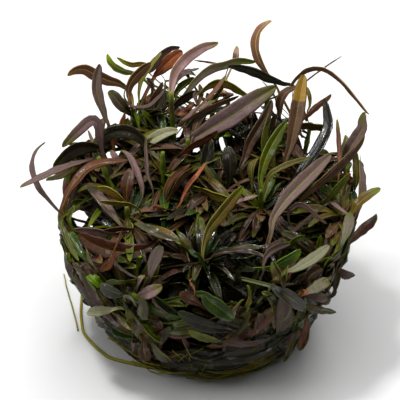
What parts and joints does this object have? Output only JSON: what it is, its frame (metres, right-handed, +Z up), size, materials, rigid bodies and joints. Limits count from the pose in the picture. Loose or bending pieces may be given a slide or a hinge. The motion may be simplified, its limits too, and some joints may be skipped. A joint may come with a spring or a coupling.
{
  "type": "aquarium plant clump, hygrophila lancea",
  "caption": "Round clump of narrow-leaved aquarium plant grown in a cup: matted roots below, bushy green, brown and mauve lance leaves above.",
  "frame": {"origin": "centre of the root mat's flat underside", "axes": "+Z up, along the stems; -Y towards the viewer of the picture; +X to that viewer's right"},
  "size_m": [0.0852, 0.0763, 0.0614],
  "materials": {
    "leaf_brown": "glossy, wet",
    "leaf_darkgreen": "glossy, wet",
    "leaf_green": "glossy, wet",
    "leaf_greygreen": "satin, wet",
    "leaf_mauve": "satin, wet",
    "leaf_olive": "glossy, wet",
    "leaf_orange": "glossy, wet",
    "leaf_rust": "glossy, wet",
    "leaf_slate": "glossy, wet",
    "leaf_taupe": "satin, wet",
    "leaf_yellow": "satin, wet",
    "root": "satin, wet",
    "root_mat": "matte, fibrous, wet",
    "shoot": "satin, wet"
  },
  "bodies": {
    "root": {"leaf_arched_left": "leaf_rust", "leaf_arched_right": "leaf_brown", "leaf_blade_black": "leaf_slate", "leaf_broad_green": "leaf_darkgreen", "leaf_broad_mauve": "leaf_taupe", "leaf_broad_right": "leaf_taupe", "leaf_central_long": "leaf_brown", "leaf_central_vee": "leaf_olive", "leaf_dark_long": "leaf_slate", "leaf_diagonal_long": "leaf_brown", "leaf_grey_green": "leaf_greygreen", "leaf_hook_left": "leaf_mauve", "leaf_long_arch": "leaf_greygreen", "leaf_mauve_arch": "leaf_mauve", "leaf_orange_curled": "leaf_orange", "leaf_pointing_left": "leaf_brown", "leaf_rusty_big": "leaf_rust", "leaf_spear_left": "leaf_mauve", "leaf_spear_low": "leaf_brown", "leaf_spear_right": "leaf_olive", "leaf_tall_hook": "leaf_brown", "leaf_tipped_right": "leaf_olive", "leaf_upright_left": "leaf_taupe", "leaf_wall_front": "leaf_slate", "leaf_yellow_green": "leaf_green", "leaf_yellow_tip": "leaf_yellow", "root_mat": "root_mat", "root_strand_front": "root", "root_strand_long": "root", "root_strand_straight": "root", "shoot_back_centre": "shoot", "shoot_back_left": "shoot", "shoot_back_mid": "shoot", "shoot_back_outer": "shoot", "shoot_back_right": "shoot", "shoot_centre": "shoot", "shoot_centre_left": "shoot", "shoot_far_left": "shoot", "shoot_far_right": "shoot", "shoot_front_centre": "shoot", "shoot_front_left": "shoot", "shoot_front_mid": "shoot", "shoot_front_right": "shoot", "shoot_left_back": "shoot", "shoot_left_front": "shoot", "shoot_left_mid": "shoot", "shoot_left_outer": "shoot", "shoot_right_back": "shoot", "shoot_right_front": "shoot", "shoot_right_mid": "shoot", "shoot_right_outer": "shoot"}
  },
  "joints": []
}
